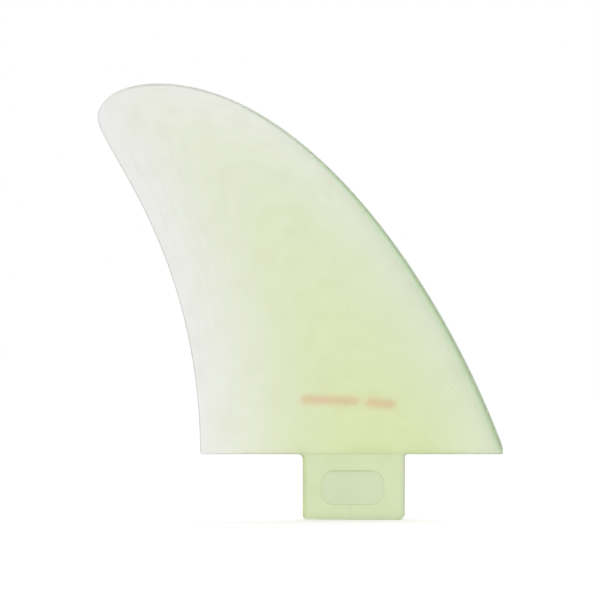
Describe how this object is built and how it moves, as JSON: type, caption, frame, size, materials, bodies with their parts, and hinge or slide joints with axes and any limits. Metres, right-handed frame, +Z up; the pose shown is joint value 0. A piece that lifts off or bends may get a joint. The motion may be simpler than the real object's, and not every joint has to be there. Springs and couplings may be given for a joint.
{
  "type": "surfboard fin",
  "caption": "Raked surfboard side fin with one flat face, one foiled face and a single base tab with a shallow pocket.",
  "frame": {"origin": "middle of the top of the tab, midway through its thickness, on the plane where the base of the blade sits on the board", "axes": "+X forward to the leading edge, +Y out from the flat side to the foiled side, +Z up to the tip"},
  "size_m": [0.1606, 0.0099, 0.1731],
  "materials": {
    "laminate": "translucent pale green glass-fibre laminate, sanded satin"
  },
  "bodies": {
    "root": {"fin": "laminate"}
  },
  "joints": []
}
